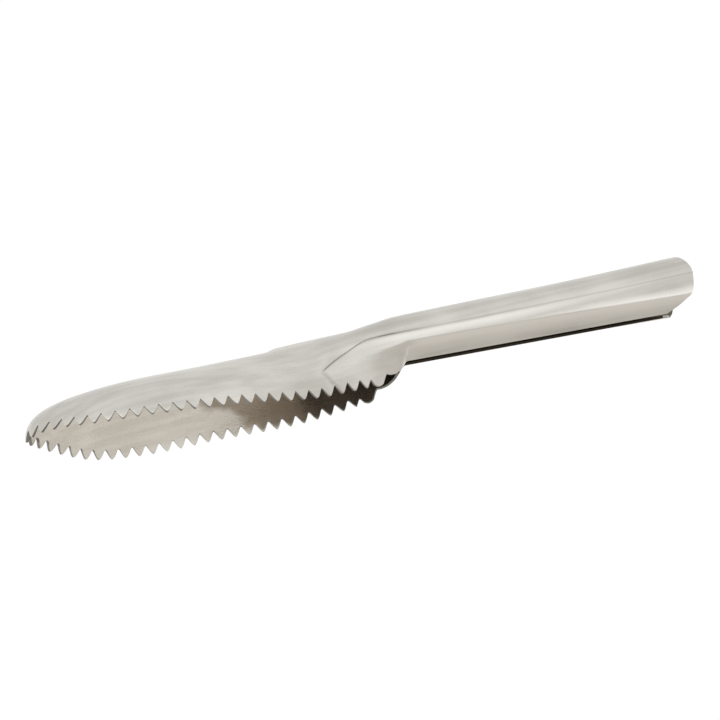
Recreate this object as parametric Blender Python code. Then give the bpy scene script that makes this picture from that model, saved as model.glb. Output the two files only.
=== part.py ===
"""Serrated hand scraper, pressed from one sheet of stainless steel.

The blank is drawn into a boat-shaped trough with saw teeth round its rim.
Behind the teeth its sides roll under into a nearly closed hollow handle.

Local frame, in millimetres: X runs from the nose to the butt of the handle,
Z points from the teeth to the crown, and Y = 0 is the plane of symmetry.
The sheet is then stood on its lowest teeth and its heel, on Z = 0.
"""

import math

import bmesh
import bpy
import numpy as np
from mathutils import Matrix, Vector

MM = 0.001

# Driving dimensions, in millimetres.
SHEET_THICKNESS = 0.9
TOOTH_PITCH = 4.41
TOOTH_DEPTH = 3.2
TEETH_PER_SIDE = 26
ROOT_MARGIN = 0.3
RIB_HEIGHT = 0.85
RIB_HALF_WIDTH = 5.0

# The line of the tooth tips: x, half width, height.
RIM = (
    (0.0, 0.0, 0.1),
    (3.5, 6.8, 0.1),
    (10.0, 12.3, -1.3),
    (20.0, 17.5, -3.7),
    (36.0, 19.6, -5.1),
    (60.0, 16.6, -6.1),
    (90.0, 11.1, -7.9),
    (106.0, 8.3, -7.0),
)

# The plain edge behind the teeth: a deep scallop, a shallow ear, then the slot's corner.
SCALLOPS = (
    (106.9, 8.2, -4.6),
    (107.9, 7.9, -6.2),
    (109.3, 7.5, -6.9),
    (110.8, 7.1, -6.4),
    (111.9, 6.8, -4.6),
    (112.9, 6.5, -3.2),
    (114.2, 6.0, -3.4),
    (116.2, 5.4, -3.2),
    (118.6, 4.5, -2.0),
    (120.3, 3.5, -0.5),
    (121.5, 2.6, 0.8),
)

# The handle: its slot runs along the underside between two flat lower facets.
HANDLE_START_X = 122.5
HANDLE_TAIL_X = 200.0
SLOT_HALF_WIDTH = 1.95
SLOT_START_Z = 1.4
FACET_FALL = 0.0146
BEND_HALF_WIDTH = 10.0
BEND_RISE = 3.0

# Crown height along the spine: x, z.
CROWN = (
    (30.0, 11.8),
    (50.0, 12.2),
    (75.0, 13.1),
    (90.0, 13.9),
    (104.0, 14.2),
    (114.0, 15.8),
    (122.0, 17.0),
    (140.0, 17.4),
    (180.0, 18.0),
    (225.0, 19.4),
)

# The crease between the arched top and the side wall: x, half width, height.
CREASE = (
    (86.0, 11.4, -3.0),
    (92.0, 11.3, 0.1),
    (100.0, 11.0, 4.2),
    (110.0, 10.2, 8.2),
    (118.0, 9.7, 8.7),
    (150.0, 9.6, 8.8),
    (225.0, 10.0, 9.3),
)

# The bend between the side wall and the flank below it, ahead of the handle.
BEND_AHEAD = (
    (86.0, 11.3, -5.0),
    (92.0, 11.2, -3.0),
    (100.0, 10.8, 0.5),
    (108.0, 10.2, 3.4),
    (118.0, 9.9, 4.4),
)

# Where the butt ends, by the share of the girth from the crown down to the slot.
BUTT = (
    (0.00, 222.3),
    (0.25, 223.4),
    (0.50, 224.5),
    (0.71, 221.1),
    (0.88, 219.8),
    (1.00, 214.8),
)

# Outward lean of the trough's wall at the rim, in degrees, along x.
LEAN = ((0.0, 4.0), (2.0, 14.0), (6.0, 24.0), (15.0, 24.0), (22.0, 17.0), (40.0, 15.0), (60.0, 6.0), (96.0, 0.0))

# How full the arch is, along x: the reach of its crown and of its wall.
FULLNESS = ((0.0, 0.65, 0.80), (6.0, 0.63, 0.69), (20.0, 0.60, 0.62))

# The spine points of the columns that fan out round the nose.
FAN_SPINE_START = 30.0
FAN_RIM_LENGTH = 70.0
FAN_START_SPACING = 0.12

# Rows of the mesh from the crown to the root of the teeth, as shares of the girth.
ROWS = (0.0, 0.12, 0.24, 0.36, 0.46, 0.53, 0.60, 0.665, 0.72, 0.86, 1.0)
# One tooth: its phase along the pitch, and its depth there.
TOOTH_OUTLINE = ((0.0, 1.0), (0.46, 0.0), (0.54, 0.0))
HANDLE_STEP = 9.0
TAIL_COLUMNS = 6
ARCH_POINTS = 48
BEND_POINTS = 7
SECTION_POINTS = 100
RIM_POINTS = 1200


def along(stations, x):
    """Read a table of stations at x, with a smooth monotone curve through them."""
    table = np.array(stations, float)
    places = table[:, 0]
    values = table[:, 1:]
    steps = np.diff(values, axis=0) / np.diff(places)[:, None]
    slopes = np.zeros_like(values)
    slopes[0] = steps[0]
    slopes[-1] = steps[-1]
    before, after = steps[:-1], steps[1:]
    total = np.where(before + after == 0.0, 1.0, before + after)
    slopes[1:-1] = np.where(before * after > 0.0, 2.0 * before * after / total, 0.0)
    x = min(max(x, places[0]), places[-1])
    i = min(int(np.searchsorted(places, x, side="right")) - 1, len(places) - 2)
    width = places[i + 1] - places[i]
    t = (x - places[i]) / width
    return hermite(values[i], slopes[i] * width, values[i + 1], slopes[i + 1] * width, t)


def hermite(start, start_slope, end, end_slope, t):
    """A cubic from start to end with the given slopes."""
    first = (2 * t**3 - 3 * t**2 + 1) * start + (t**3 - 2 * t**2 + t) * start_slope
    return first + (-2 * t**3 + 3 * t**2) * end + (t**3 - t**2) * end_slope


def blend(low, high, x):
    """A smooth step from 0 at low to 1 at high."""
    t = min(max((x - low) / (high - low), 0.0), 1.0)
    return t * t * (3 - 2 * t)


def lengths(points):
    """The running length along a chain of points."""
    return np.concatenate([[0.0], np.cumsum(np.linalg.norm(np.diff(points, axis=0), axis=1))])


def resample(points, shares):
    """Points at the given shares of a chain's length."""
    run = lengths(points)
    return np.stack([np.interp(np.array(shares) * run[-1], run, points[:, i]) for i in range(points.shape[1])], -1)


def rim_curve():
    """The tip line as a dense chain: a Catmull-Rom curve that crosses the nose symmetrically."""
    half = np.array(RIM, float)
    chain = np.concatenate([half[:0:-1] * (1, -1, 1), half])
    run = lengths(chain)
    gap = np.diff(run)[:, None]
    step = np.diff(chain, axis=0) / gap
    slope = np.zeros_like(chain)
    slope[0], slope[-1] = step[0], step[-1]
    slope[1:-1] = (step[:-1] * gap[1:] + step[1:] * gap[:-1]) / (gap[:-1] + gap[1:])
    nose = len(half) - 1
    points = []
    for place in np.linspace(run[nose], run[-1], RIM_POINTS):
        i = min(int(np.searchsorted(run, place, side="right")) - 1, len(run) - 2)
        width = run[i + 1] - run[i]
        t = (place - run[i]) / width
        points.append(hermite(chain[i], slope[i] * width, chain[i + 1], slope[i + 1] * width, t))
    return np.array(points)


RIM_CHAIN = rim_curve()
RIM_RUN = lengths(RIM_CHAIN)


def rim_point(distance):
    """The point of the tip line at this distance from the nose."""
    return np.array([np.interp(distance, RIM_RUN, RIM_CHAIN[:, i]) for i in range(3)])


def spine_x(distance, edge_x):
    """Where a column leaves the spine: the columns fan out round the nose, then run straight across."""
    if distance >= FAN_RIM_LENGTH:
        return edge_x
    end = rim_point(FAN_RIM_LENGTH)[0]
    end_slope = (end - rim_point(FAN_RIM_LENGTH - 1.0)[0]) * FAN_RIM_LENGTH
    return hermite(
        FAN_SPINE_START, FAN_START_SPACING * FAN_RIM_LENGTH, end, end_slope, distance / FAN_RIM_LENGTH
    )


def slot_edge(x):
    """The handle's lower edge at x."""
    return np.array([x, SLOT_HALF_WIDTH, SLOT_START_Z - FACET_FALL * (x - HANDLE_START_X)])


def bend_point(x):
    """Half width and height of the bend between side wall and lower facet."""
    ahead = np.array(along(BEND_AHEAD, x))
    share = blend(BEND_AHEAD[-1][0], HANDLE_START_X, x)
    handle = np.array([BEND_HALF_WIDTH, slot_edge(x)[2] + BEND_RISE])
    return (1 - share) * ahead + share * handle


def arch(height, half_width, low, angle, crown_reach, wall_reach):
    """A Bezier arch from the crown out and down to (half_width, low), meeting it at this angle."""
    drop = height - low
    ends = np.array(
        [
            (0.0, height),
            (crown_reach * half_width, height),
            (half_width - wall_reach * drop / math.tan(angle), low + wall_reach * drop),
            (half_width, low),
        ]
    )
    t = np.linspace(0.0, 1.0, ARCH_POINTS)[:, None]
    weights = ((1 - t) ** 3, 3 * (1 - t) ** 2 * t, 3 * (1 - t) * t**2, t**3)
    return sum(weight * end for weight, end in zip(weights, ends))


def creased_section(height, edge_x, reach, low):
    """Arch, side wall, rounded bend and flank, down to the edge."""
    crease = along(CREASE, edge_x)
    bend = bend_point(edge_x)
    edge = np.array([reach, low])
    upper = arch(height, crease[0], crease[1], math.radians(86.0), 0.56, 0.56)
    up, down = crease - bend, edge - bend
    radius = np.interp(edge_x, (95.0, 118.0, 124.0), (2.5, 1.5, 0.9))
    radius = min(radius, 0.45 * np.linalg.norm(up), 0.45 * np.linalg.norm(down))
    start = bend + up / np.linalg.norm(up) * radius
    end = bend + down / np.linalg.norm(down) * radius
    t = np.linspace(0.0, 1.0, BEND_POINTS)[:, None]
    rounded = (1 - t) ** 2 * start + 2 * (1 - t) * t * bend + t**2 * end
    return np.concatenate([upper, rounded, [edge]])


def column(edge, edge_depths, distance=None):
    """One strip's points from the crown down to the edge. edge_depths gives how far above the
    tip line the last rows stop; distance is the strip's place along the toothed rim."""
    from_x = edge[0] if distance is None else spine_x(distance, edge[0])
    height = along(CROWN, from_x)[0]
    reach = math.hypot(edge[0] - from_x, edge[1])
    outward = np.array([edge[0] - from_x, edge[1]]) / reach
    lean = np.interp(edge[0], [row[0] for row in LEAN], [row[1] for row in LEAN])
    crown_reach, wall_reach = (
        np.interp(edge[0], [row[0] for row in FULLNESS], [row[i] for row in FULLNESS]) for i in (1, 2)
    )
    section = arch(height, reach, edge[2], math.radians(90.0 - lean), crown_reach, wall_reach)
    share = blend(88.0, 95.0, edge[0])
    if share > 0.0:
        even = np.linspace(0.0, 1.0, SECTION_POINTS)
        creased = resample(creased_section(height, edge[0], reach, edge[2]), even)
        section = (1 - share) * resample(section, even) + share * creased
    girth = lengths(section)[-1]
    root_depth, edge_depth = edge_depths
    shares = [row * (1 - root_depth / girth) for row in ROWS]
    shares.append(1 - edge_depth / girth)
    flat = resample(section, shares)
    slope = along(CROWN, from_x + 0.5)[0] - along(CROWN, from_x - 0.5)[0]
    points = []
    for (out, z), share_down in zip(flat, shares):
        x = from_x + out * outward[0]
        y = out * outward[1]
        z += slope * (x - from_x) * (1 - share_down) ** 2
        rib = RIB_HEIGHT * blend(77.5, 82.0, x) * (1 - blend(100.0, 122.0, x))
        points.append((x, y, z + rib * math.exp(-((y / RIB_HALF_WIDTH) ** 2))))
    return points


def toothed_columns():
    """The columns of the trough, three to a tooth, from the nose tooth to the last one."""
    columns = []
    root = TOOTH_DEPTH + ROOT_MARGIN
    for tooth in range(TEETH_PER_SIDE + 1):
        for phase, depth in TOOTH_OUTLINE:
            distance = (tooth - 0.5 + phase) * TOOTH_PITCH
            if distance < 0.0:
                continue
            edge = rim_point(distance)
            columns.append(column(edge, (root, depth * TOOTH_DEPTH), distance))
    nose = rim_point(0.0)
    return [column(nose, (root, 0.0), 0.0)] + columns


def plain_columns():
    """The columns of the shoulder and of the handle as far as its tail."""
    plain = (2 * ROOT_MARGIN, 0.0)
    columns = [column(np.array(edge), plain) for edge in SCALLOPS]
    count = round((HANDLE_TAIL_X - HANDLE_START_X) / HANDLE_STEP)
    for x in np.linspace(HANDLE_START_X, HANDLE_TAIL_X, count + 1):
        columns.append(column(slot_edge(x), plain))
    return columns


def tail_columns():
    """The handle's end, whose columns lean until they follow the rounded butt."""
    plain = (2 * ROOT_MARGIN, 0.0)
    shares = list(ROWS) + [1.0]
    columns = []
    for step in range(1, TAIL_COLUMNS + 1):
        points = []
        for row, share in enumerate(shares):
            x = HANDLE_TAIL_X + (along(BUTT, share)[0] - HANDLE_TAIL_X) * step / TAIL_COLUMNS
            points.append(column(slot_edge(x), plain)[row])
        columns.append(points)
    return columns


def steel():
    """Satin stainless steel."""
    material = bpy.data.materials.new("satin_stainless_steel")
    material.use_nodes = True
    shader = material.node_tree.nodes["Principled BSDF"]
    shader.inputs["Base Color"].default_value = (0.62, 0.60, 0.57, 1.0)
    shader.inputs["Metallic"].default_value = 1.0
    shader.inputs["Roughness"].default_value = 0.32
    return material


def half_sheet(columns):
    """The outer surface of the +Y half, as one grid of quads."""
    mesh = bpy.data.meshes.new("pressed_scraper")
    points = [Vector(point) * MM for strip in columns for point in strip]
    rows = len(columns[0])
    faces = []
    for i in range(len(columns) - 1):
        for j in range(rows - 1):
            corner = i * rows + j
            faces.append((corner, corner + rows, corner + rows + 1, corner + 1))
    mesh.from_pydata(points, [], faces)
    shell = bmesh.new()
    shell.from_mesh(mesh)
    for vertex in shell.verts:
        if abs(vertex.co.y) < 1e-7:
            vertex.co.y = 0.0
    bmesh.ops.recalc_face_normals(shell, faces=shell.faces)
    crown_face = max(shell.faces, key=lambda face: face.calc_center_median().z)
    if crown_face.normal.z < 0.0:
        bmesh.ops.reverse_faces(shell, faces=shell.faces)
    shell.to_mesh(mesh)
    shell.free()
    mesh.shade_smooth()
    mesh.set_sharp_from_angle(angle=math.radians(35.0))
    return mesh


def rest_tilt(columns):
    """The turn about Y that lays the lowest teeth and the heel on one level."""
    heel = columns[-1][-1]
    tips = [strip[-1] for strip in columns if strip[-1][0] < RIM[-1][0]]
    return max(math.atan2(heel[2] - tip[2], heel[0] - tip[0]) for tip in tips)


def stand(scraper):
    """Stand the scraper on Z = 0, centred on the origin."""
    bpy.context.view_layer.update()
    graph = bpy.context.evaluated_depsgraph_get()
    solid = scraper.evaluated_get(graph)
    placed = [solid.matrix_world @ vertex.co for vertex in solid.data.vertices]
    low_x, high_x = min(point.x for point in placed), max(point.x for point in placed)
    scraper.location.x -= (low_x + high_x) / 2
    scraper.location.z -= min(point.z for point in placed)


def pressed_scraper():
    """The whole sheet: half of it, mirrored, then given its thickness inwards."""
    columns = toothed_columns() + plain_columns() + tail_columns()
    scraper = bpy.data.objects.new("pressed_scraper", half_sheet(columns))
    bpy.context.collection.objects.link(scraper)
    mirror = scraper.modifiers.new("other_half", "MIRROR")
    mirror.use_axis = (False, True, False)
    mirror.use_clip = True
    mirror.merge_threshold = 0.000005
    sheet = scraper.modifiers.new("sheet_thickness", "SOLIDIFY")
    sheet.thickness = SHEET_THICKNESS * MM
    sheet.offset = -1.0
    scraper.data.materials.append(steel())
    scraper.rotation_euler = Matrix.Rotation(rest_tilt(columns), 3, "Y").to_euler()
    stand(scraper)
    return scraper


def main():
    for old in list(bpy.data.objects):
        bpy.data.objects.remove(old, do_unlink=True)
    pressed_scraper()


main()
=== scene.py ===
"""Looks of a serrated hand scraper, pressed from one sheet of satin stainless steel.

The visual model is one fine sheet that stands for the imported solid. A plain flange is drawn
down round the trough, Geometry Nodes cut the saw teeth into it, and the sheet is then
mirrored, given its thickness and dressed in four finishes: outside, inside, cut edge and burr.

Lengths are in millimetres until a mesh is made. The shape is worked out in the maker's own
frame, with X from the nose to the butt, Z from the teeth to the crown and Y = 0 in the middle,
and is then stood on its lowest teeth and its heel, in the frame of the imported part.
"""

import logging
import math
from dataclasses import dataclass, field
from enum import Enum, IntEnum

import bmesh
import bpy
import numpy as np
from mathutils import Matrix, Vector


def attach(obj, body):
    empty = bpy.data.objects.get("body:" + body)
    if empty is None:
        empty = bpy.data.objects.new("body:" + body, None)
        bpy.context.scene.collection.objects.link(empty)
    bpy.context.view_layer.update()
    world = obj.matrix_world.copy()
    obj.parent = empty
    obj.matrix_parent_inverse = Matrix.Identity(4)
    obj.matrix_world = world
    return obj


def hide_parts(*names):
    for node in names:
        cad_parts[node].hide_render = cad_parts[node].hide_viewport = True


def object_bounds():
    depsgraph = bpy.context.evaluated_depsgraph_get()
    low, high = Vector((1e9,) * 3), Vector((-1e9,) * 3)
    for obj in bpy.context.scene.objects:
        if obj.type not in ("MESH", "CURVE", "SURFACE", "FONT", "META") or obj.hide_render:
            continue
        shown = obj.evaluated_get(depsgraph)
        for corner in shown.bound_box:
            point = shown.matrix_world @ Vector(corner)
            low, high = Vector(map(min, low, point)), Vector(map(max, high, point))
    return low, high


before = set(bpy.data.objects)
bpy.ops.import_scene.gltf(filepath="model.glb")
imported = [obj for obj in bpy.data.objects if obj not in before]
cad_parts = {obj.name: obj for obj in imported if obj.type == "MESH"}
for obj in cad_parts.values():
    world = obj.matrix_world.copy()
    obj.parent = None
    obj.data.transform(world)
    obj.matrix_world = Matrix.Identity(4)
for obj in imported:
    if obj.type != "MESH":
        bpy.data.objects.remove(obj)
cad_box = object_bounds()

MM = 0.001
BODY = "root"
NODE = "pressed_scraper"

log = logging.getLogger("scraper")

Stations = tuple[tuple[float, ...], ...]
Span = tuple[float, float]
Band = tuple[float, float, float, float]
Triple = tuple[float, float, float]
Value = np.ndarray | float
Tree = bpy.types.NodeTree
Socket = bpy.types.NodeSocket


class Face(IntEnum):
    """The sheet's kinds of surface, by material index."""

    OUTSIDE = 0
    INSIDE = 1
    CUT_EDGE = 2
    BURR = 3


class Trait(Enum):
    """The named values that the flange carries for the tooth cutter and the finishes."""

    RUN = "rim_run"
    SHARE = "tooth_share"
    DOWN = "down_the_wall"
    # A painted highlight, partly burnish, and painted shade, which the outside's colour takes.
    BURNISH_AND_HIGHLIGHT = "burnish_and_painted_highlight"
    PAINTED_SHADE = "painted_shade"
    DEPTH = "depth_in_handle"


# ---- curves


def hermite(start: Value, start_slope: Value, end: Value, end_slope: Value, t: float) -> Value:
    """Follow a cubic between two ends with given slopes.

    Args:
        start: value at t = 0.
        start_slope: slope there, for t.
        end: value at t = 1.
        end_slope: slope there, for t.
        t: the place between them.

    Returns:
        The cubic's value at t.
    """
    first = (2 * t**3 - 3 * t**2 + 1) * start + (t**3 - 2 * t**2 + t) * start_slope
    return first + (-2 * t**3 + 3 * t**2) * end + (t**3 - t**2) * end_slope


def along(stations: Stations, x: float) -> np.ndarray:
    """Read a table of stations with a smooth monotone curve through them.

    Args:
        stations: rows of a place and the values there.
        x: the place to read.

    Returns:
        The values at x.
    """
    table = np.array(stations, float)
    places, values = table[:, 0], table[:, 1:]
    steps = np.diff(values, axis=0) / np.diff(places)[:, None]
    slopes = np.zeros_like(values)
    slopes[0], slopes[-1] = steps[0], steps[-1]
    before, after = steps[:-1], steps[1:]
    total = np.where(before + after == 0.0, 1.0, before + after)
    slopes[1:-1] = np.where(before * after > 0.0, 2.0 * before * after / total, 0.0)
    x = min(max(x, places[0]), places[-1])
    i = min(int(np.searchsorted(places, x, side="right")) - 1, len(places) - 2)
    width = places[i + 1] - places[i]
    t = (x - places[i]) / width
    return hermite(values[i], slopes[i] * width, values[i + 1], slopes[i + 1] * width, t)


def straight(stations: Stations, x: float, column: int = 1) -> float:
    """Read one column of a table of stations along straight lines."""
    return float(np.interp(x, [row[0] for row in stations], [row[column] for row in stations]))


def smooth_step(low: float, high: float, x: float) -> float:
    """Rise smoothly from 0 at low to 1 at high."""
    t = min(max((x - low) / (high - low), 0.0), 1.0)
    return t * t * (3 - 2 * t)


def fade(low: float, high: float, x: float) -> float:
    """Fall smoothly from 1 at low to 0 at high."""
    return 1 - smooth_step(low, high, x)


def within(band: Band, x: float) -> float:
    """Rise smoothly over the band's first two numbers, and fall over its last two."""
    return smooth_step(*band[:2], x) * fade(*band[2:], x)


def hump(distance: float, reach: float) -> float:
    """Fall off on both sides of a line, like a bell."""
    return math.exp(-((distance / reach) ** 2))


def lengths(points: np.ndarray) -> np.ndarray:
    """Give the running length along a chain of points."""
    return np.concatenate([[0.0], np.cumsum(np.linalg.norm(np.diff(points, axis=0), axis=1))])


def resample(points: np.ndarray, shares: np.ndarray) -> np.ndarray:
    """Place points on a chain.

    Args:
        points: the chain.
        shares: places along it, as shares of its length.

    Returns:
        One point for each share.
    """
    run = lengths(points)
    return np.stack([np.interp(shares * run[-1], run, points[:, i]) for i in range(points.shape[1])], -1)


# ---- the pressed shape


@dataclass
class RimLine:
    """The line through the tooth tips, from the nose to the last tooth."""

    stations: Stations = (
        (0.0, 0.0, 0.1), (3.5, 6.8, 0.1), (10.0, 12.3, -1.3), (20.0, 17.5, -3.7),
        (36.0, 19.6, -5.1), (60.0, 16.6, -6.1), (90.0, 11.1, -7.9), (106.0, 8.3, -7.0),
    )
    samples: int = 2400
    chain: np.ndarray = field(init=False)
    run: np.ndarray = field(init=False)

    def __post_init__(self) -> None:
        """Lay the curve out as a dense chain that crosses the nose symmetrically."""
        half = np.array(self.stations, float)
        knots = np.concatenate([half[:0:-1] * (1, -1, 1), half])
        run = lengths(knots)
        gap = np.diff(run)[:, None]
        step = np.diff(knots, axis=0) / gap
        slope = np.zeros_like(knots)
        slope[0], slope[-1] = step[0], step[-1]
        slope[1:-1] = (step[:-1] * gap[1:] + step[1:] * gap[:-1]) / (gap[:-1] + gap[1:])
        points = []
        for place in np.linspace(run[len(half) - 1], run[-1], self.samples):
            i = min(int(np.searchsorted(run, place, side="right")) - 1, len(run) - 2)
            width = run[i + 1] - run[i]
            t = (place - run[i]) / width
            points.append(hermite(knots[i], slope[i] * width, knots[i + 1], slope[i + 1] * width, t))
        self.chain = np.array(points)
        self.run = lengths(self.chain)

    def point(self, distance: float) -> np.ndarray:
        """Give the point at this distance from the nose."""
        return np.array([np.interp(distance, self.run, self.chain[:, i]) for i in range(3)])


@dataclass
class SawTeeth:
    """The saw teeth, cut into the flange by a Geometry Nodes tree."""

    pitch: float = 4.41
    depth: float = 3.2
    per_side: int = 26
    root_margin: float = 0.3
    tip_flat: float = 0.17
    root_flat: float = 0.03
    tip_round: float = 0.60
    root_round: float = 0.28
    column_phases: tuple[float, ...] = (0.0, 0.035, 0.08, 0.15, 0.25, 0.36, 0.44, 0.5)

    def distances(self) -> list[float]:
        """Give where the flange's columns stand along the rim, from the nose to the last tip."""
        rising = self.column_phases
        falling = [1.0 - phase for phase in rising[-2:0:-1]]
        phases = (*rising, *falling)
        places = [(tooth + phase) * self.pitch for tooth in range(self.per_side) for phase in phases]
        return [*places, self.per_side * self.pitch]

    def tree(self) -> Tree:
        """Build the cutter, which draws each point of the flange up the wall by a rounded saw wave.

        Returns:
            The node tree, with named inputs for the teeth's sizes and the finish.
        """
        tree = bpy.data.node_groups.new("saw_tooth_cutter", "GeometryNodeTree")
        face = tree.interface
        face.new_socket("Flange", in_out="INPUT", socket_type="NodeSocketGeometry")
        for name in ("Pitch", "Cut Share", "Tip Flat", "Root Flat", "Tip Round", "Root Round"):
            face.new_socket(name, in_out="INPUT", socket_type="NodeSocketFloat")
        face.new_socket("Finish", in_out="INPUT", socket_type="NodeSocketMaterial")
        face.new_socket("Toothed Flange", in_out="OUTPUT", socket_type="NodeSocketGeometry")
        given = tree.nodes.new("NodeGroupInput")
        made = tree.nodes.new("NodeGroupOutput")

        def read(trait: Trait, kind: str) -> Socket:
            """Read one of the flange's traits."""
            node = tree.nodes.new("GeometryNodeInputNamedAttribute")
            node.data_type = kind
            node.inputs["Name"].default_value = trait.value
            return node.outputs["Attribute"]

        def math_node(operation: str, *values: Socket | float) -> Socket:
            """Add a Math node and link or set its inputs."""
            node = tree.nodes.new("ShaderNodeMath")
            node.operation = operation
            for socket, value in zip(node.inputs, values):
                if isinstance(value, (int, float)):
                    socket.default_value = value
                else:
                    tree.links.new(value, socket)
            return node.outputs[0]

        turns = math_node("DIVIDE", read(Trait.RUN, "FLOAT"), given.outputs["Pitch"])
        wave = math_node("PINGPONG", turns, 0.5)
        climb = math_node("MULTIPLY", wave, 2.0)
        flats = math_node("ADD", given.outputs["Tip Flat"], given.outputs["Root Flat"])
        above = math_node("SUBTRACT", climb, given.outputs["Tip Flat"])
        flank = math_node("DIVIDE", above, math_node("SUBTRACT", 1.0, flats))
        tip = math_node("SMOOTH_MAX", flank, 0.0, given.outputs["Tip Round"])
        root = math_node("SMOOTH_MIN", tip, 1.0, given.outputs["Root Round"])
        share = math_node("MULTIPLY", read(Trait.SHARE, "FLOAT"), given.outputs["Cut Share"])
        cut = math_node("MULTIPLY", root, share)
        lift = tree.nodes.new("ShaderNodeVectorMath")
        lift.operation = "SCALE"
        tree.links.new(read(Trait.DOWN, "FLOAT_VECTOR"), lift.inputs["Vector"])
        tree.links.new(math_node("MULTIPLY", cut, -1.0), lift.inputs["Scale"])
        move = tree.nodes.new("GeometryNodeSetPosition")
        tree.links.new(given.outputs["Flange"], move.inputs["Geometry"])
        tree.links.new(lift.outputs["Vector"], move.inputs["Offset"])
        real = tree.nodes.new("GeometryNodeRealizeInstances")
        tree.links.new(move.outputs["Geometry"], real.inputs["Geometry"])
        finish = tree.nodes.new("GeometryNodeSetMaterial")
        tree.links.new(real.outputs["Geometry"], finish.inputs["Geometry"])
        tree.links.new(given.outputs["Finish"], finish.inputs["Material"])
        tree.links.new(finish.outputs["Geometry"], made.inputs["Toothed Flange"])
        return tree

    def cut(self, blank: bpy.types.Object, finish: bpy.types.Material) -> bpy.types.Mesh:
        """Cut the teeth into the blank.

        Args:
            blank: the flange, with its traits.
            finish: the material that the tree sets.

        Returns:
            The toothed blank as a plain mesh.
        """
        modifier = blank.modifiers.new("saw_teeth", "NODES")
        modifier.node_group = self.tree()
        values = {
            "Pitch": self.pitch,
            "Cut Share": self.depth / (self.depth + self.root_margin),
            "Tip Flat": self.tip_flat,
            "Root Flat": self.root_flat,
            "Tip Round": self.tip_round,
            "Root Round": self.root_round,
            "Finish": finish,
        }
        for item in modifier.node_group.interface.items_tree:
            if item.in_out == "INPUT" and item.name in values:
                modifier[item.identifier] = values[item.name]
        graph = bpy.context.evaluated_depsgraph_get()
        toothed = bpy.data.meshes.new_from_object(blank.evaluated_get(graph), depsgraph=graph)
        blank.modifiers.clear()
        return toothed


@dataclass
class Trough:
    """The boat-shaped trough: its crown line, its wall and the rib that starts on it."""

    crown: Stations = (
        (30.0, 11.8), (50.0, 12.2), (75.0, 13.1), (90.0, 13.9), (104.0, 14.2), (114.0, 15.8),
        (122.0, 17.0), (140.0, 17.4), (180.0, 18.0), (225.0, 19.38),
    )
    lean: Stations = (
        (0.0, 4.0), (2.0, 14.0), (6.0, 24.0), (15.0, 24.0), (22.0, 17.0), (40.0, 15.0), (60.0, 6.0),
        (96.0, 0.0),
    )
    fullness: Stations = ((0.0, 0.63, 0.76), (6.0, 0.61, 0.655), (20.0, 0.60, 0.61))
    rib_height: float = 0.85
    rib_half_width: float = 5.0
    rib_along: Band = (77.5, 82.0, 100.0, 122.0)
    fan_spine_start: float = 30.0
    fan_rim_length: float = 70.0
    fan_spacing: float = 0.12
    arch_points: int = 160

    def height(self, x: float) -> float:
        """Give the crown's height at x."""
        return float(along(self.crown, x)[0])

    def spine_x(self, rim: RimLine, distance: float, edge_x: float) -> float:
        """Give where a column leaves the spine.

        Args:
            rim: the tip line.
            distance: the column's place along it.
            edge_x: the x of its edge.

        Returns:
            Its x on the spine: the columns fan out round the nose, then run straight across.
        """
        if distance >= self.fan_rim_length:
            return edge_x
        end = rim.point(self.fan_rim_length)[0]
        slope = (end - rim.point(self.fan_rim_length - 1.0)[0]) * self.fan_rim_length
        start_slope = self.fan_spacing * self.fan_rim_length
        return float(hermite(self.fan_spine_start, start_slope, end, slope, distance / self.fan_rim_length))

    def arch(self, height: float, foot: np.ndarray, angle: float, reaches: Span) -> np.ndarray:
        """Draw a Bezier arch from the crown out and down to its foot.

        Args:
            height: the crown's height.
            foot: half width and height of the foot.
            angle: the wall's angle at the foot, in degrees.
            reaches: how far the crown and the wall reach before they turn.

        Returns:
            The arch as a chain of (out, height).
        """
        drop = height - foot[1]
        ends = (
            np.array((0.0, height)),
            np.array((reaches[0] * foot[0], height)),
            foot + np.array((-reaches[1] * drop / math.tan(math.radians(angle)), reaches[1] * drop)),
            foot,
        )
        t = np.linspace(0.0, 1.0, self.arch_points)[:, None]
        weights = ((1 - t) ** 3, 3 * (1 - t) ** 2 * t, 3 * (1 - t) * t**2, t**3)
        return sum(weight * end for weight, end in zip(weights, ends))

    def rib(self, x: float, y: float) -> float:
        """Give how far the raised rib stands above the crown at (x, y)."""
        return self.rib_height * within(self.rib_along, x) * hump(y, self.rib_half_width)


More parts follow.
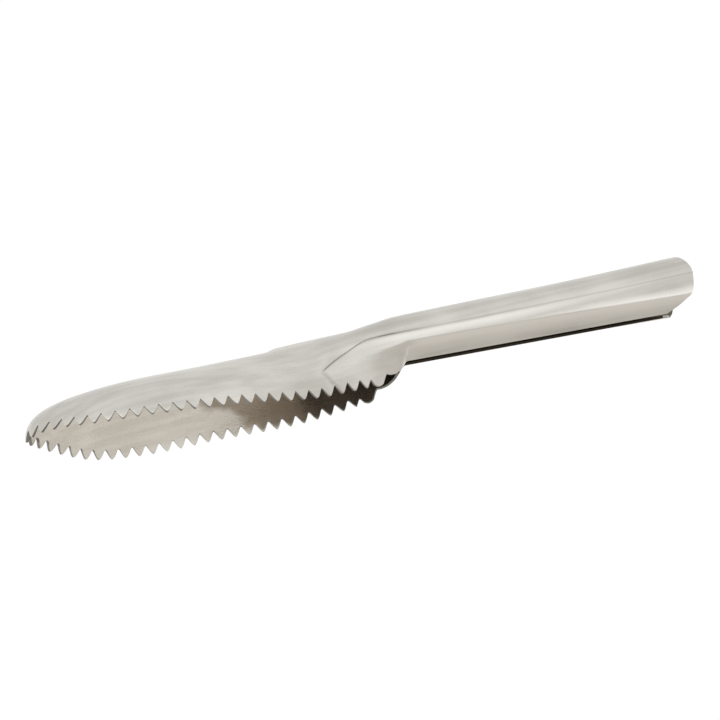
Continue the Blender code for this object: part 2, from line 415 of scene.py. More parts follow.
@dataclass
class Handle:
    """The hollow handle: arch, side wall, bend and lower facet on each side of a slot."""

    start_x: float = 122.5
    tail_x: float = 200.0
    slot_half_width: float = 1.95
    slot_start_z: float = 1.4
    facet_fall: float = 0.0146
    bend_half_width: float = 10.0
    bend_rise: Stations = ((118.0, 3.6), (150.0, 3.5), (185.0, 3.0), (215.0, 2.4))
    crease: Stations = (
        (86.0, 11.4, -3.0), (92.0, 11.3, 0.6), (100.0, 11.0, 4.5), (110.0, 10.2, 8.2),
        (118.0, 9.7, 8.7), (150.0, 9.6, 8.8), (190.0, 9.8, 9.1), (225.0, 10.0, 9.9),
    )
    bend_ahead: Stations = (
        (86.0, 11.3, -5.0), (92.0, 11.2, -3.0), (100.0, 10.8, 0.5), (108.0, 10.2, 3.4),
        (118.0, 9.9, 4.4),
    )
    bend_radius: Stations = ((95.0, 2.5), (118.0, 1.3), (124.0, 0.8))
    bend_limit: float = 0.45
    side_angle: float = 86.0
    fullness: Span = (0.56, 0.56)
    butt: Stations = (
        (0.0, 222.3), (0.25, 223.4), (0.46, 224.4), (0.62, 223.1), (0.75, 220.4), (0.88, 217.9),
        (1.0, 214.4),
    )
    step: float = 2.5
    tail_columns: int = 16
    bend_points: int = 24

    def slot_edge(self, x: float) -> np.ndarray:
        """Give the handle's lower edge at x."""
        return np.array([x, self.slot_half_width, self.slot_start_z - self.facet_fall * (x - self.start_x)])

    def bend_point(self, x: float) -> np.ndarray:
        """Give the half width and height of the bend between side wall and lower facet."""
        share = smooth_step(self.bend_ahead[-1][0], self.start_x, x)
        on_handle = np.array([self.bend_half_width, self.slot_edge(x)[2] + straight(self.bend_rise, x)])
        return (1 - share) * along(self.bend_ahead, x) + share * on_handle

    def section(self, trough: Trough, height: float, edge: np.ndarray) -> tuple[np.ndarray, float, float]:
        """Draw arch, side wall, rounded bend and flank, down to the edge.

        Args:
            trough: gives the arch.
            height: the crown's height.
            edge: x, half width and height of the lower edge.

        Returns:
            The chain of (out, height), and the shares of its length at the crease and at the bend.
        """
        crease, bend = along(self.crease, edge[0]), self.bend_point(edge[0])
        foot = edge[1:]
        upper = trough.arch(height, crease, self.side_angle, self.fullness)
        up, down = crease - bend, foot - bend
        up_length, down_length = np.linalg.norm(up), np.linalg.norm(down)
        radius = min(straight(self.bend_radius, edge[0]), self.bend_limit * min(up_length, down_length))
        start = bend + up / up_length * radius
        end = bend + down / down_length * radius
        t = np.linspace(0.0, 1.0, self.bend_points)[:, None]
        rounded = (1 - t) ** 2 * start + 2 * (1 - t) * t * bend + t**2 * end
        chain = np.concatenate([upper, rounded, [foot]])
        run = lengths(chain) / lengths(chain)[-1]
        at_crease = len(upper) - 1
        return chain, run[at_crease], run[at_crease + self.bend_points // 2]


@dataclass
class Shoulder:
    """The plain edge between the last tooth and the handle: a deep scallop, then a shallow ear."""

    line: Stations = (
        (105.31, 8.42, -7.04), (106.9, 8.15, -6.95), (109.3, 7.5, -6.9), (111.9, 6.8, -5.6),
        (114.2, 6.0, -3.9), (116.2, 5.4, -3.2), (118.6, 4.5, -2.0), (120.3, 3.5, -0.5),
        (121.5, 2.6, 0.8), (122.5, 1.95, 1.4),
    )
    cuts: Stations = (
        (105.31, 0.15), (106.1, 1.3), (106.9, 2.4), (107.9, 0.7), (109.3, 0.0), (110.8, 0.0),
        (111.9, 1.0), (112.9, 1.75), (114.2, 0.5), (116.2, 0.0),
    )
    band_fades: Span = (106.0, 115.0)
    columns: int = 56

    def places(self) -> np.ndarray:
        """Give the x of the columns along the plain edge."""
        return np.linspace(self.line[0][0], self.line[-1][0], self.columns)[1:-1]

    def point(self, x: float) -> np.ndarray:
        """Give the point of the uncut edge line at x."""
        return np.array([x, *along(self.line, x)])

    def cut(self, x: float) -> float:
        """Give how far the edge is cut back from its line at x."""
        return float(along(self.cuts, x)[0])


@dataclass
class Groove:
    """The crisp line that the press leaves where the arch meets the side wall."""

    depth: float = 0.16
    half_width: float = 0.42
    starts: Span = (91.0, 93.0)
    sharpness: float = 1.5
    shade_reach: float = 0.3
    softens: Stations = ((118.0, 1.0), (130.0, 0.45), (215.0, 0.4), (222.0, 0.0))

    def sink(self, x: float, gap: float) -> float:
        """Give how deep the line is pressed in.

        Args:
            x: the place along the sheet.
            gap: the distance from the middle of the line, along the girth.

        Returns:
            The depth, in millimetres.
        """
        across = max(1.0 - abs(gap) / self.half_width, 0.0)
        return self.depth * across**self.sharpness * self.strength(x)

    def shade(self, x: float, gap: float) -> float:
        """Give how dark the line's painted shade is at x, at a distance from its middle."""
        return hump(gap, self.shade_reach) * self.strength(x)

    def strength(self, x: float) -> float:
        """Give how plain the line is at x, from 0 to 1."""
        return smooth_step(*self.starts, x) * straight(self.softens, x)


@dataclass
class BurnishAndPaintedLight:
    """Where the outside is painted brighter and darker: painted highlight and reflection, partly burnish, and
    painted shade.

    Each mark has its share, its band or span along the sheet, and one up the sheet or round its
    girth, which counts from the crease, from the bend or from the step down the handle's side.
    """

    # Painted highlights, partly burnish: along the bend, on the facet, below the crease, at the shoulder's
    # fold and on the flank.
    bend_reach: float = 1.5
    bend_fades: Span = (0.2, 0.8)
    bend_along: Span = (165.0, 205.0)
    facet_share: float = 0.95
    facet_girth: Band = (-0.4, 0.2, 0.2, 7.5)
    facet_along: Span = (120.5, 126.0)
    wall_share: float = 0.76
    wall_girth: Band = (0.3, 1.2, 1.2, 4.6)
    wall_along: Band = (98.0, 122.0, 145.0, 196.0)
    fold_x: float = 120.4
    fold_z: float = -0.1
    fold_lean: float = 1.6 / 3.7
    fold_reach: float = 0.7
    fold_height: Band = (-1.5, 0.5, 3.2, 5.0)
    flank_share: float = 0.32
    flank_along: Band = (94.0, 104.0, 121.0, 132.0)
    flank_fades: Span = (6.5, 9.0)

    # Painted shade and dark painted reflections: a patch and a slanting band ahead of the crease, the crown
    # at the shoulder and the butt, the butt's end and a band up the handle's side.
    patch_share: float = 0.26
    patch_along: Band = (78.0, 84.0, 91.0, 93.5)
    patch_fades: Span = (-1.8, 0.2)
    crossing_share: float = 0.50
    crossing_x: float = 92.0
    crossing_lean: float = 0.55
    crossing_reach: float = 0.9
    crossing_fades: Span = (-0.6, 0.4)
    shoulder_share: float = 0.14
    shoulder_along: Band = (98.0, 108.0, 122.0, 140.0)
    shoulder_starts: Span = (9.5, 12.0)
    butt_share: float = 0.16
    butt_along: Span = (165.0, 218.0)
    butt_starts: Span = (9.5, 13.0)
    end_share: float = 0.22
    end_along: Span = (208.0, 221.0)
    end_starts: Span = (1.0, 3.5)
    side_share: float = 0.26
    side_step: Stations = ((150.0, 0.3), (163.0, 0.6), (177.0, 1.1), (190.0, 2.4), (210.0, 3.0), (217.0, 3.7))
    side_girth: Band = (-0.35, 0.15, 0.2, 3.6)
    side_along: Band = (124.0, 136.0, 208.0, 220.0)

    def bright(self, x: float, z: float, below_crease: float, below_bend: float) -> float:
        """Give how bright a point is painted: a painted highlight, partly burnish.

        Args:
            x: its place along the sheet.
            z: its height.
            below_crease: how far below the crease it lies.
            below_bend: how far below the bend it lies.

        Returns:
            The strongest mark there, from 0 to 1.
        """
        on_bend = hump(min(below_bend, 0.0), self.bend_reach) * fade(*self.bend_fades, below_bend)
        off_fold = x - self.fold_x - self.fold_lean * (z - self.fold_z)
        return max(
            on_bend * smooth_step(*self.bend_along, x),
            self.facet_share * within(self.facet_girth, below_bend) * smooth_step(*self.facet_along, x),
            self.wall_share * within(self.wall_girth, below_crease) * within(self.wall_along, x),
            hump(off_fold, self.fold_reach) * within(self.fold_height, z),
            self.flank_share * within(self.flank_along, x) * fade(*self.flank_fades, z),
        )

    def painted_dark(self, x: float, z: float, below_bend: float) -> float:
        """Give how dark a point is painted with painted shade and dark painted reflections.

        Args:
            x: its place along the sheet.
            z: its height.
            below_bend: how far below the bend it lies.

        Returns:
            The strongest mark there, from 0 to 1.
        """
        off_crossing = x - self.crossing_x + self.crossing_lean * z
        crossing = hump(off_crossing, self.crossing_reach) * fade(*self.crossing_fades, z)
        butt = self.butt_share * smooth_step(*self.butt_along, x) * smooth_step(*self.butt_starts, z)
        end = self.end_share * smooth_step(*self.end_along, x) * smooth_step(*self.end_starts, -below_bend)
        above_step = -below_bend - straight(self.side_step, x)
        return max(
            self.patch_share * within(self.patch_along, x) * fade(*self.patch_fades, z),
            self.crossing_share * crossing,
            self.shoulder_share * within(self.shoulder_along, x) * smooth_step(*self.shoulder_starts, z),
            butt + end,
            self.side_share * within(self.side_girth, above_step) * within(self.side_along, x),
        )


@dataclass
class Strip:
    """One column of the sheet's outer surface, from the crown down to the edge."""

    points: list[Triple]
    run: float
    toothed: bool
    root_row: int
    # Per row: the painted highlight, partly burnish, and the painted shade.
    burnish_and_highlight: list[float]
    painted_shade: list[float]


@dataclass
class PressedSheet:
    """The whole scraper: trough, teeth, shoulder and handle in one sheet of steel."""

    thickness: float = 0.9
    edge_break: float = 0.15
    edge_segments: int = 2
    edge_angle: float = 55.0
    smooth_angle: float = 50.0
    rim: RimLine = field(default_factory=RimLine)
    teeth: SawTeeth = field(default_factory=SawTeeth)
    trough: Trough = field(default_factory=Trough)
    shoulder: Shoulder = field(default_factory=Shoulder)
    handle: Handle = field(default_factory=Handle)
    groove: Groove = field(default_factory=Groove)
    burnish_and_painted_light: BurnishAndPaintedLight = field(default_factory=BurnishAndPaintedLight)
    arch_rows: int = 13
    wall_rows: int = 5
    flank_rows: int = 8
    band_rows: int = 5
    groove_rows: tuple[float, ...] = (-1.0, -0.5, 0.0, 0.5, 1.0)
    bend_rows: tuple[float, ...] = (-1.0, -0.66, -0.33, 0.0, 0.33, 0.66, 1.0)
    bend_spread: float = 0.9
    plain_crease: float = 0.52
    plain_bend: float = 0.72
    creased_from: Span = (85.0, 97.0)
    rows_shift_over: float = 2.0
    section_points: int = 500
    depth_lean: float = 1.6
    depth_level: float = -7.0
    lip_starts_ahead: float = 2.0
    lip_depth: float = 1.2
    butt_depth: float = 0.5
    merge: float = 0.004

    def rows(self, crease: float, bend: float, girth: float) -> np.ndarray:
        """Share the rows out over the girth, closest at the crease and at the bend.

        Args:
            crease: the crease's share of the girth.
            bend: the bend's share of the girth.
            girth: the girth in millimetres.

        Returns:
            The rows' shares, from the crown to the edge.
        """
        tight = self.groove.half_width / girth
        roll = self.handle.bend_radius[-1][1] * self.bend_spread / girth
        bend = min(bend, 1.0 - 2.0 * roll)
        crease = min(crease, bend - 2.0 * (tight + roll))
        at_crease = crease + tight * np.array(self.groove_rows)
        at_bend = bend + roll * np.array(self.bend_rows)
        return np.concatenate(
            [
                np.linspace(0.0, at_crease[0], self.arch_rows, endpoint=False),
                at_crease,
                np.linspace(at_crease[-1], at_bend[0], self.wall_rows, endpoint=False)[1:],
                at_bend,
                np.linspace(at_bend[-1], 1.0, self.flank_rows)[1:],
            ]
        )

    def strip(self, edge: np.ndarray, distance: float | None, root_depth: float, cut: float = 0.0) -> Strip:
        """Draw one column of the outer surface.

        Args:
            edge: its point on the tip line or on the plain edge.
            distance: its place along the toothed rim, or None behind it.
            root_depth: how far above the edge the toothed band starts.
            cut: how far the edge itself is cut back.

        Returns:
            The column's points and traits.
        """
        from_x = edge[0] if distance is None else self.trough.spine_x(self.rim, distance, edge[0])
        height = self.trough.height(from_x)
        reach = math.hypot(edge[0] - from_x, edge[1])
        outward = np.array([edge[0] - from_x, edge[1]]) / reach
        angle = 90.0 - straight(self.trough.lean, edge[0])
        reaches = (straight(self.trough.fullness, edge[0], 1), straight(self.trough.fullness, edge[0], 2))
        even = np.linspace(0.0, 1.0, self.section_points)
        section = resample(self.trough.arch(height, np.array((reach, edge[2])), angle, reaches), even)
        share = smooth_step(*self.creased_from, edge[0])
        crease, bend = self.plain_crease, self.plain_bend
        if share > 0.0:
            lower = np.array((edge[0], reach, edge[2]))
            folded, at_crease, at_bend = self.handle.section(self.trough, height, lower)
            section = (1 - share) * section + share * resample(folded, even)
            early = smooth_step(self.creased_from[0], self.creased_from[0] + self.rows_shift_over, edge[0])
            crease, bend = crease + early * (at_crease - crease), bend + early * (at_bend - bend)
        girth = lengths(section)[-1]
        root = 1 - root_depth / girth
        if share > 0.0:
            body = self.rows(crease / root, bend / root, girth * root) * root
        else:
            body = self.rows(crease, bend, girth) * root
        shares = np.concatenate([body, np.linspace(root, 1.0 - cut / girth, self.band_rows + 1)[1:]])
        flat = resample(section, shares)
        tangent = np.gradient(section, even, axis=0)
        tangent /= np.linalg.norm(tangent, axis=1)[:, None]
        slope = self.trough.height(from_x + 0.5) - self.trough.height(from_x - 0.5)
        points, burnish_and_highlight, painted_shade = [], [], []
        for (out, z), down in zip(flat, shares):
            t = tangent[min(int(down * (len(even) - 1)), len(even) - 1)]
            below_crease, below_bend = (down - crease) * girth, (down - bend) * girth
            sink = self.groove.sink(edge[0], below_crease)
            out, z = out + t[1] * sink, z - t[0] * sink
            x = from_x + out * outward[0]
            y = out * outward[1]
            z += slope * (x - from_x) * (1 - down) ** 2
            points.append((x, y, z + self.trough.rib(x, y)))
            # Each row's painted highlight, partly burnish, and its painted shade, in the crease and in dark
            # bands.
            burnish_and_highlight.append(self.burnish_and_painted_light.bright(x, z, below_crease, below_bend))
            painted_shade.append(max(self.groove.shade(x, below_crease), self.burnish_and_painted_light.painted_dark(x, z, below_bend)))
        toothed = distance is not None
        return Strip(points, distance if toothed else 0.0, toothed, len(body) - 1, burnish_and_highlight, painted_shade)

    def strips(self) -> list[Strip]:
        """Draw every column, from the nose to the butt."""
        band = self.teeth.depth + self.teeth.root_margin
        strips = [self.strip(self.rim.point(place), place, band) for place in self.teeth.distances()]
        plain = 2 * self.teeth.root_margin
        for x in self.shoulder.places():
            cut = self.shoulder.cut(x)
            deep = max(band + (plain - band) * smooth_step(*self.shoulder.band_fades, x), cut + plain)
            strips.append(self.strip(self.shoulder.point(x), None, deep, cut))
        handle = self.handle
        count = round((handle.tail_x - handle.start_x) / handle.step)
        for x in np.linspace(handle.start_x, handle.tail_x, count + 1):
            strips.append(self.strip(handle.slot_edge(x), None, plain))
        return strips + self.tail(plain)

    def tail(self, plain: float) -> list[Strip]:
        """Draw the handle's end, whose columns lean until they follow the rounded butt."""
        handle = self.handle
        model = self.strip(handle.slot_edge(handle.tail_x), None, plain)
        chain = np.array(model.points)
        shares = lengths(chain) / lengths(chain)[-1]
        strips = []
        for step in range(1, handle.tail_columns + 1):
            grown = math.sin(math.pi / 2 * step / handle.tail_columns)
            points = []
            for row, share in enumerate(shares):
                x = handle.tail_x + (along(handle.butt, share)[0] - handle.tail_x) * grown
                points.append(self.strip(handle.slot_edge(x), None, plain).points[row])
            strips.append(Strip(points, 0.0, False, model.root_row, model.burnish_and_highlight, model.painted_shade))
        return strips

    def blank(self, strips: list[Strip]) -> bpy.types.Object:
        """Make the half blank, before its teeth are cut.

        Args:
            strips: the columns of its outer surface.

        Returns:
            The blank, with the traits that the cutter and the finishes read.
        """
        rows = len(strips[0].points)
        places = np.array([strip.points for strip in strips])
        places[np.abs(places[:, :, 1]) < 1e-6, 1] = 0.0
        faces = []
        for i in range(len(strips) - 1):
            for j in range(rows - 1):
                corner = i * rows + j
                faces.append((corner, corner + 1, corner + rows + 1, corner + rows))
        mesh = bpy.data.meshes.new("flange")
        mesh.from_pydata((places.reshape(-1, 3) * MM).tolist(), [], faces)
        band = np.clip((np.arange(rows) - strips[0].root_row) / (rows - 1 - strips[0].root_row), 0.0, 1.0)
        toothed = np.array([strip.toothed for strip in strips])
        root_to_tip = places[:, -1] - places[:, strips[0].root_row]
        traits = {
            Trait.RUN: np.repeat([strip.run for strip in strips], rows),
            Trait.SHARE: np.outer(toothed, band).reshape(-1),
            Trait.BURNISH_AND_HIGHLIGHT: np.array([strip.burnish_and_highlight for strip in strips]).reshape(-1),
            Trait.PAINTED_SHADE: np.array([strip.painted_shade for strip in strips]).reshape(-1),
            Trait.DEPTH: self.inner_depth(places).reshape(-1),
        }
        for trait, values in traits.items():
            layer = mesh.attributes.new(trait.value, "FLOAT", "POINT")
            layer.data.foreach_set("value", values.astype(np.float32))
        layer = mesh.attributes.new(Trait.DOWN.value, "FLOAT_VECTOR", "POINT")
        down = np.repeat(root_to_tip, rows, axis=0) * MM
        layer.data.foreach_set("vector", down.astype(np.float32).reshape(-1))
        blank = bpy.data.objects.new("flange", mesh)
        bpy.context.collection.objects.link(blank)
        return blank

    def inner_depth(self, places: np.ndarray) -> np.ndarray:
        """Give how deep under the trough each point lies, as a share of the way to the handle.

        Args:
            places: the points of the strips, by column and row.

        Returns:
            The depths: past 1 in the handle and along its lips, and less again at the open butt.
        """
        # These depths place the inside's painted shade and the painted shade deep in the handle.
        lifted = self.depth_lean * (places[:, :, 2] - self.depth_level)
        depth = (places[:, :, 0] + lifted) / self.handle.start_x
        on_lip = places[:, -1, 0] > self.handle.start_x - self.lip_starts_ahead
        depth[:, -1] = np.where(on_lip, self.lip_depth, depth[:, -1])
        depth[-1, :-1] = self.butt_depth
        return depth

    def tilt(self) -> float:
        """Give the turn about Y that lays the lowest teeth and the heel on one level."""
        heel = self.handle.slot_edge(self.handle.butt[-1][1])
        tips = [self.rim.point(tooth * self.teeth.pitch) for tooth in range(self.teeth.per_side + 1)]
        return max(math.atan2(heel[2] - tip[2], heel[0] - tip[0]) for tip in tips)

    def place(self, mesh: bpy.types.Mesh) -> None:
        """Turn the shape onto its teeth and heel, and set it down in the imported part's box."""
        mesh.transform(Matrix.Rotation(self.tilt(), 4, "Y"))
        nose = min(vertex.co.x for vertex in mesh.vertices)
        low = min(vertex.co.z for vertex in mesh.vertices)
        mesh.transform(Matrix.Translation((cad_box[0].x - nose, 0.0, cad_box[0].z - low)))

    def build(self, finishes: list[bpy.types.Material]) -> bpy.types.Object:
        """Build the whole sheet.

        Args:
            finishes: the materials, by face kind.

        Returns:
            The finished piece, at the origin.
        """
        blank = self.blank(self.strips())
        mesh = self.teeth.cut(blank, finishes[Face.OUTSIDE])
        bpy.data.objects.remove(blank, do_unlink=True)
        mesh.name = "steel_sheet"
        mesh.materials.clear()
        for finish in finishes:
            mesh.materials.append(finish)
        self.turn_outwards(mesh)
        sheet = bpy.data.objects.new("steel_sheet", mesh)
        bpy.context.collection.objects.link(sheet)
        mirror = sheet.modifiers.new("other_half", "MIRROR")
        mirror.use_axis = (False, True, False)
        mirror.use_clip = True
        mirror.merge_threshold = self.merge * MM
        solid = sheet.modifiers.new("sheet_thickness", "SOLIDIFY")
        solid.thickness = self.thickness * MM
        solid.offset = -1.0
        solid.material_offset = Face.INSIDE
        solid.material_offset_rim = Face.CUT_EDGE
        broken = sheet.modifiers.new("broken_edges", "BEVEL")
        broken.width = self.edge_break * MM
        broken.segments = self.edge_segments
        broken.limit_method = "ANGLE"
        broken.angle_limit = math.radians(self.edge_angle)
        broken.material = Face.BURR
        broken.use_clamp_overlap = True
        graph = bpy.context.evaluated_depsgraph_get()
        whole = bpy.data.meshes.new_from_object(sheet.evaluated_get(graph), depsgraph=graph)
        sheet.modifiers.clear()
        sheet.data = whole
        whole.shade_smooth()
        whole.set_sharp_from_angle(angle=math.radians(self.smooth_angle))
        self.place(whole)
        return sheet

    def turn_outwards(self, mesh: bpy.types.Mesh) -> None:
        """Turn the half blank's faces outwards, by the crown."""
        shell = bmesh.new()
        shell.from_mesh(mesh)
        bmesh.ops.recalc_face_normals(shell, faces=shell.faces)
        highest = max(shell.faces, key=lambda face: face.calc_center_median().z)
        if highest.normal.z < 0.0:
            bmesh.ops.reverse_faces(shell, faces=shell.faces)
        shell.to_mesh(mesh)
        shell.free()


# ---- finishes


@dataclass(frozen=True)
class SatinSteel:
    """Stainless steel with a fine drawn grain along the length, some haze and light scuffs."""

    name: str
    light: Triple
    dark: Triple
    roughness: Span
    metal: float = 1.0
    grain_depth: float = 0.035
    grain_relief: float = 0.04
    grain_scale: float = 2400.0
    grain_stretch: float = 0.010
    streak_scale: float = 528.0
    streak_stretch: float = 0.022
    streak_share: float = 0.35
    patch_scale: float = 38.0
    patch_stretch: Triple = (1.0, 1.4, 1.4)
    tone_window: Span = (0.36, 0.64)
    worn_share: float = 0.45
    worn_window: Span = (0.3, 0.7)
    # Painted highlight, partly burnish, and painted shade; the inside's painted shade from part way along;
    # and painted shade deep in the handle's hollow.
    burnish_and_highlight: float = 0.0
    burnish_and_highlight_colour: Triple = (0.92, 0.90, 0.85)
    shaded: float = 0.0
    shaded_colour: Triple = (0.16, 0.12, 0.08)
    painted_dark_from: Span | None = None
    painted_dark: Triple = (0.42, 0.365, 0.295)
    ragged: float = 0.22
    ragged_scale: float = 85.0
    ragged_stretch: Triple = (1.0, 1.0, 1.6)
    hollow: bool = False
    hollow_from: Span = (1.06, 1.16)
    hollow_shade: Triple = (0.05, 0.04, 0.03)

    def build(self) -> bpy.types.Material:
        """Build the material.

        Returns:
            The node material, all in Object coordinates and the sheet's own traits.
        """
        material = bpy.data.materials.new(self.name)
        material.use_nodes = True
        tree = material.node_tree
        shader = tree.nodes["Principled BSDF"]
        shader.inputs["Metallic"].default_value = self.metal
        place = tree.nodes.new("ShaderNodeTexCoord").outputs["Object"]

        patches = self.noise(tree, place, self.patch_stretch, self.patch_scale, 4.0)
        grain = self.noise(tree, place, (self.grain_stretch, 1.0, 1.0), self.grain_scale, 3.0)
        streaks = self.noise(tree, place, (self.streak_stretch, 1.0, 1.0), self.streak_scale, 2.0)

        tone = self.mix_values(tree, patches, streaks, self.streak_share)
        colour = tree.nodes.new("ShaderNodeMix")
        colour.data_type = "RGBA"
        tree.links.new(self.window(tree, tone, self.tone_window), colour.inputs["Factor"])
        colour.inputs["A"].default_value = (*self.dark, 1.0)
        colour.inputs["B"].default_value = (*self.light, 1.0)
        tree.links.new(self.marked(tree, place, colour.outputs["Result"]), shader.inputs["Base Color"])

        worn = self.mix_values(tree, patches, grain, self.worn_share)
        rough = self.window(tree, worn, self.worn_window, self.roughness)
        tree.links.new(rough, shader.inputs["Roughness"])

        bump = tree.nodes.new("ShaderNodeBump")
        bump.inputs["Strength"].default_value = self.grain_depth
        bump.inputs["Distance"].default_value = self.grain_relief * MM
        tree.links.new(self.mix_values(tree, grain, streaks, 0.5), bump.inputs["Height"])
        tree.links.new(bump.outputs["Normal"], shader.inputs["Normal"])
        return material

    def marked(self, tree: Tree, place: Socket, colour: Socket) -> Socket:
        """Paint the sheet's highlights and shades over its colour.

        Args:
            tree: the material's tree.
            place: the Object coordinates.
            colour: the colour of clean steel.

        Returns:
            The colour with the painted shade and painted highlight that this finish takes.
        """
        # Painted shade and painted highlight, partly burnish, from the sheet's traits.
        if self.shaded > 0.0:
            colour = self.tint(tree, colour, self.read(tree, Trait.PAINTED_SHADE), self.shaded, self.shaded_colour)
        if self.burnish_and_highlight > 0.0:
            colour = self.tint(tree, colour, self.read(tree, Trait.BURNISH_AND_HIGHLIGHT), self.burnish_and_highlight, self.burnish_and_highlight_colour)
        # Painted shade on the inside, from part way towards the handle, with a ragged edge.
        if self.painted_dark_from is not None:
            edge = tree.nodes.new("ShaderNodeMath")
            edge.operation = "MULTIPLY_ADD"
            rag = self.noise(tree, place, self.ragged_stretch, self.ragged_scale, 3.0)
            tree.links.new(rag, edge.inputs[0])
            edge.inputs[1].default_value = self.ragged
            tree.links.new(self.read(tree, Trait.DEPTH), edge.inputs[2])
            low, high = (depth + 0.5 * self.ragged for depth in self.painted_dark_from)
            colour = self.tint(tree, colour, self.window(tree, edge.outputs[0], (low, high)), 1.0, self.painted_dark)
        # Painted shade deep in the handle's hollow.
        if self.hollow:
            deep = self.window(tree, self.read(tree, Trait.DEPTH), self.hollow_from)
            colour = self.tint(tree, colour, deep, 1.0, self.hollow_shade)
        return colour

    def noise(self, tree: Tree, place: Socket, stretch: Triple, scale: float, detail: float) -> Socket:
        """Add a stretched noise and give its value."""
        mapping = tree.nodes.new("ShaderNodeMapping")
        mapping.inputs["Scale"].default_value = stretch
        tree.links.new(place, mapping.inputs["Vector"])
        noise = tree.nodes.new("ShaderNodeTexNoise")
        noise.inputs["Scale"].default_value = scale
        noise.inputs["Detail"].default_value = detail
        tree.links.new(mapping.outputs["Vector"], noise.inputs["Vector"])
        return noise.outputs["Fac"]

    def mix_values(self, tree: Tree, first: Socket, second: Socket, share: float) -> Socket:
        """Mix two values and give the result."""
        mix = tree.nodes.new("ShaderNodeMix")
        mix.inputs["Factor"].default_value = share
        tree.links.new(first, mix.inputs["A"])
        tree.links.new(second, mix.inputs["B"])
        return mix.outputs["Result"]

    def window(self, tree: Tree, value: Socket, span: Span, onto: Span = (0.0, 1.0)) -> Socket:
        """Map a value from one range onto another, smoothly."""
        ramp = tree.nodes.new("ShaderNodeMapRange")
        ramp.interpolation_type = "SMOOTHSTEP"
        for name, number in zip(("From Min", "From Max", "To Min", "To Max"), (*span, *onto)):
            ramp.inputs[name].default_value = number
        tree.links.new(value, ramp.inputs["Value"])
        return ramp.outputs["Result"]

    def read(self, tree: Tree, trait: Trait) -> Socket:
        """Read one of the sheet's traits."""
        node = tree.nodes.new("ShaderNodeAttribute")
        node.attribute_name = trait.value
        return node.outputs["Fac"]

    def tint(self, tree: Tree, colour: Socket, where: Socket, strength: float, target: Triple) -> Socket:
        """Draw the colour towards a target.

        Args:
            tree: the material's tree.
            colour: the colour so far.
            where: how much each place takes, from 0 to 1.
            strength: how far the colour goes where that is 1.
            target: the colour it goes to.

        Returns:
            The tinted colour.
        """
        scaled = tree.nodes.new("ShaderNodeMath")
        scaled.operation = "MULTIPLY"
        scaled.inputs[1].default_value = strength
        tree.links.new(where, scaled.inputs[0])
        mix = tree.nodes.new("ShaderNodeMix")
        mix.data_type = "RGBA"
        tree.links.new(scaled.outputs[0], mix.inputs["Factor"])
        tree.links.new(colour, mix.inputs["A"])
        mix.inputs["B"].default_value = (*target, 1.0)
        return mix.outputs["Result"]


# The outside takes the painted shade and the painted highlight, partly burnish.
OUTSIDE = SatinSteel(
    name="satin_outside",
    light=(0.70, 0.685, 0.635),
    dark=(0.565, 0.550, 0.505),
    roughness=(0.24, 0.36),
    shaded=0.62,
    burnish_and_highlight=0.85,
)
# The inside is painted lighter than the outside as a painted reflection near the nose, and painted darker
# towards and in the handle as shade.
INSIDE = SatinSteel(
    name="satin_inside",
    light=(0.92, 0.90, 0.835),
    dark=(0.78, 0.75, 0.685),
    roughness=(0.22, 0.36),
    patch_scale=52.0,
    painted_dark_from=(0.60, 0.665),
    hollow=True,
    hollow_from=(0.80, 1.10),
    hollow_shade=(0.13, 0.11, 0.09),
    metal=0.80,
)
# Both edge finishes are painted dark deep in the handle's hollow, as painted shade.
CUT_EDGE = SatinSteel(
    name="sheared_edge",
    light=(0.34, 0.33, 0.31),
    dark=(0.24, 0.23, 0.215),
    roughness=(0.30, 0.40),
    grain_depth=0.03,
    hollow=True,
)
BURR = SatinSteel(
    name="burnished_burr",
    light=(0.86, 0.85, 0.81),
    dark=(0.74, 0.72, 0.67),
    roughness=(0.20, 0.30),
    grain_depth=0.03,
    hollow=True,
)


# ---- studio


@dataclass(frozen=True)
class SoftLight:
    """One large square lamp, aimed at the object."""

    name: str
    place: Triple
    size: float
    power: float

    def build(self) -> bpy.types.Object:
        """Hang the lamp and aim it at the origin."""
        lamp = bpy.data.lights.new(self.name, "AREA")
        lamp.shape = "SQUARE"
        lamp.size = self.size
        lamp.energy = self.power
        hung = bpy.data.objects.new(self.name, lamp)
        hung.location = self.place
        hung.rotation_euler = (-Vector(self.place)).to_track_quat("-Z", "Y").to_euler()
        bpy.context.collection.objects.link(hung)
        return hung


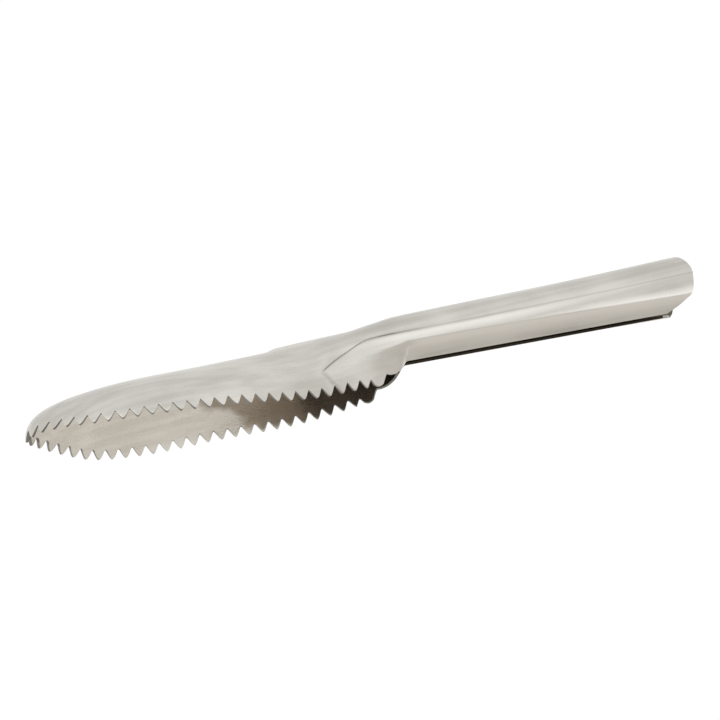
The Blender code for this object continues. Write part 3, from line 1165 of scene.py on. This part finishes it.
@dataclass
class Studio:
    """Pale floor far below, a bright surround and one soft lamp."""

    floor_drop: float = 0.95
    floor_half_width: float = 9.0
    floor_colour: Triple = (0.66, 0.63, 0.60)
    floor_roughness: float = 0.8
    surround: Stations = ((-0.40, 0.70), (0.0, 1.03), (0.52, 1.03), (0.85, 0.92), (1.0, 0.88))
    lamp: SoftLight = SoftLight("soft_lamp", (-1.0, -2.2, 1.6), 1.6, 3.0)

    def floor(self) -> bpy.types.Object:
        """Lay the floor."""
        half, low = self.floor_half_width, -self.floor_drop
        mesh = bpy.data.meshes.new("floor")
        corners = [(-half, -half, low), (half, -half, low), (half, half, low), (-half, half, low)]
        mesh.from_pydata(corners, [], [(0, 1, 2, 3)])
        floor = bpy.data.objects.new("floor", mesh)
        material = bpy.data.materials.new("pale_floor")
        material.use_nodes = True
        shader = material.node_tree.nodes["Principled BSDF"]
        shader.inputs["Base Color"].default_value = (*self.floor_colour, 1.0)
        shader.inputs["Roughness"].default_value = self.floor_roughness
        mesh.materials.append(material)
        bpy.context.collection.objects.link(floor)
        return floor

    def light_up(self) -> None:
        """Set a soft surround whose brightness depends only on the height of the direction."""
        world = bpy.data.worlds.new("soft_surround")
        world.use_nodes = True
        tree = world.node_tree
        background = tree.nodes["Background"]
        parts = tree.nodes.new("ShaderNodeSeparateXYZ")
        tree.links.new(tree.nodes.new("ShaderNodeTexCoord").outputs["Generated"], parts.inputs[0])
        share = tree.nodes.new("ShaderNodeMath")
        share.operation = "MULTIPLY_ADD"
        share.inputs[1].default_value = 0.5
        share.inputs[2].default_value = 0.5
        tree.links.new(parts.outputs["Z"], share.inputs[0])
        ramp = tree.nodes.new("ShaderNodeValToRGB")
        ramp.color_ramp.interpolation = "EASE"
        stops = ramp.color_ramp.elements
        while len(stops) < len(self.surround):
            stops.new(1.0)
        brightest = max(level for _, level in self.surround)
        for stop, (height, level) in zip(stops, self.surround):
            stop.position = 0.5 + 0.5 * height
            stop.color = (level / brightest,) * 3 + (1.0,)
        tree.links.new(share.outputs[0], ramp.inputs["Fac"])
        tree.links.new(ramp.outputs["Color"], background.inputs["Color"])
        background.inputs["Strength"].default_value = brightest
        bpy.context.scene.world = world

    def build(self) -> bpy.types.Object:
        """Build the studio and give its floor."""
        self.light_up()
        self.lamp.build()
        return self.floor()


@dataclass
class CameraStand:
    """The camera, low in front of the nose and looking up under the teeth."""

    aim: Triple = (-0.00418, 0.0, 0.01240)
    azimuth: float = -18.8485
    elevation: float = -16.9911
    roll: float = -20.4996
    distance: float = 0.59546
    lens: float = 94.0
    sensor: float = 36.0
    clip: Span = (0.01, 50.0)

    def build(self) -> bpy.types.Object:
        """Set up the camera and make it the scene's."""
        data = bpy.data.cameras.new("camera")
        data.lens = self.lens
        data.sensor_width = self.sensor
        data.clip_start, data.clip_end = self.clip
        camera = bpy.data.objects.new("camera", data)
        turn, rise = math.radians(self.azimuth), math.radians(self.elevation)
        back = Vector((math.sin(turn) * math.cos(rise), -math.cos(turn) * math.cos(rise), math.sin(rise)))
        facing = (-back).to_track_quat("-Z", "Y")
        rolled = Matrix.Rotation(math.radians(self.roll), 4, "Z")
        stand = Matrix.Translation(Vector(self.aim) + back * self.distance)
        camera.matrix_world = stand @ facing.to_matrix().to_4x4() @ rolled
        bpy.context.collection.objects.link(camera)
        bpy.context.scene.camera = camera
        return camera


def main() -> None:
    """Build the studio, the camera and the sheet in order, and report each piece."""
    logging.basicConfig(level=logging.INFO, format="%(name)s: %(message)s")
    bpy.context.scene.view_settings.view_transform = "Standard"
    Studio().build()
    CameraStand().build()
    log.info("studio and camera are up")

    finishes = [finish.build() for finish in (OUTSIDE, INSIDE, CUT_EDGE, BURR)]
    sheet = PressedSheet().build(finishes)
    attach(sheet, BODY)
    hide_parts(NODE)
    sheet.data.calc_loop_triangles()
    log.info("%s: %d triangles", sheet.name, len(sheet.data.loop_triangles))


if __name__ == "__main__":
    main()
